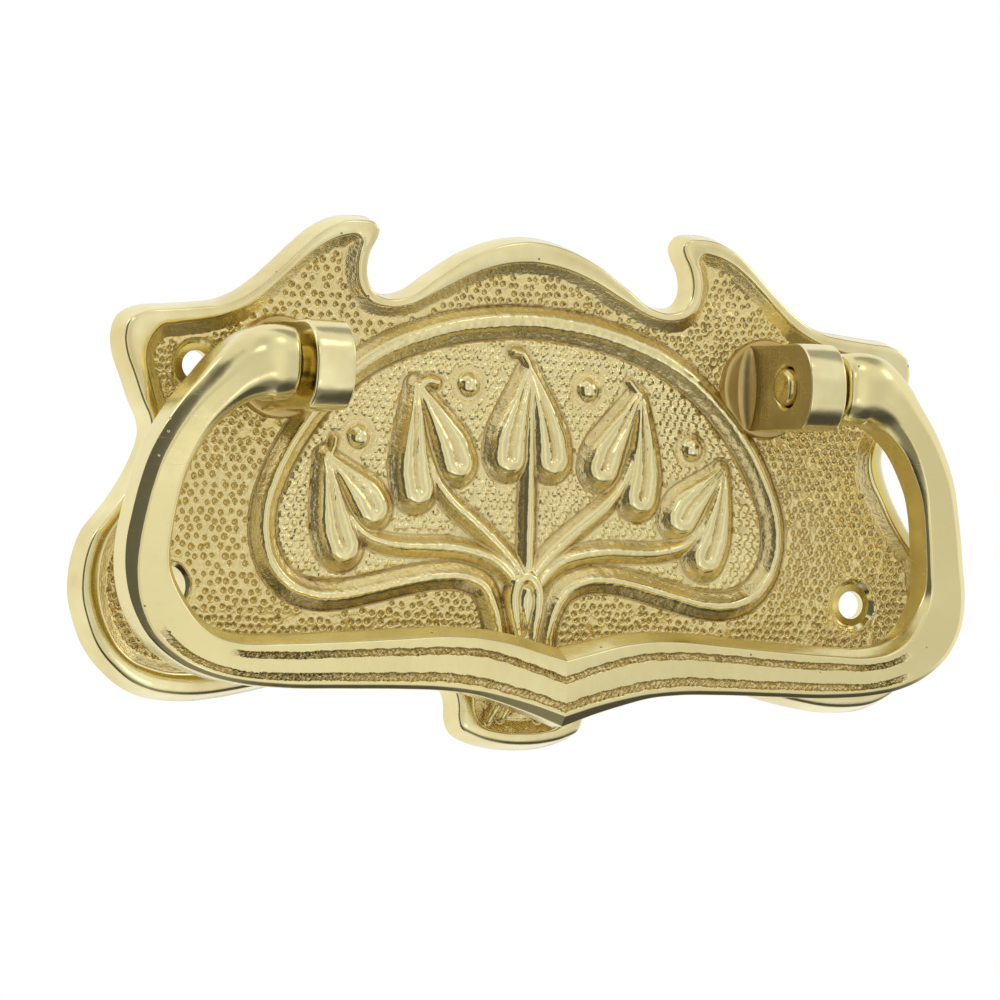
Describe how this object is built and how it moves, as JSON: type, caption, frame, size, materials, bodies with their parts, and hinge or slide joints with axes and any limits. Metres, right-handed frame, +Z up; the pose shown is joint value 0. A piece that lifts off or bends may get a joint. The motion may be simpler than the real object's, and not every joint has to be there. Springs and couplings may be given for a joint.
{
  "type": "drop handle cabinet pull",
  "caption": "Cast brass drop handle: a carved back plate with two posts, and a bail with a pointed bar that swings outwards and up on two pins.",
  "frame": {"origin": "on the flat back of the plate, midway between the four screw holes", "axes": "+X to the right seen from the front, +Z up on the drawer, +Y into the drawer front, so the carved face and the bail are on the -Y side"},
  "size_m": [0.1372, 0.0209, 0.0745],
  "materials": {
    "polished_brass": "polished and lacquered, with darker unpolished brass in the sunk ground",
    "pin_brass": "dull turned brass"
  },
  "bodies": {
    "plate": {"backplate": "polished_brass"},
    "bail": {"bail": "polished_brass", "pivot_pin_left": "pin_brass", "pivot_pin_right": "pin_brass"}
  },
  "joints": [
    {"name": "bail_swing", "type": "hinge", "parent": "plate", "child": "bail", "pos_m": [0, -0.0133, 0.0155], "axis": [-1, 0, 0], "range_deg": [-8, 180]}
  ]
}
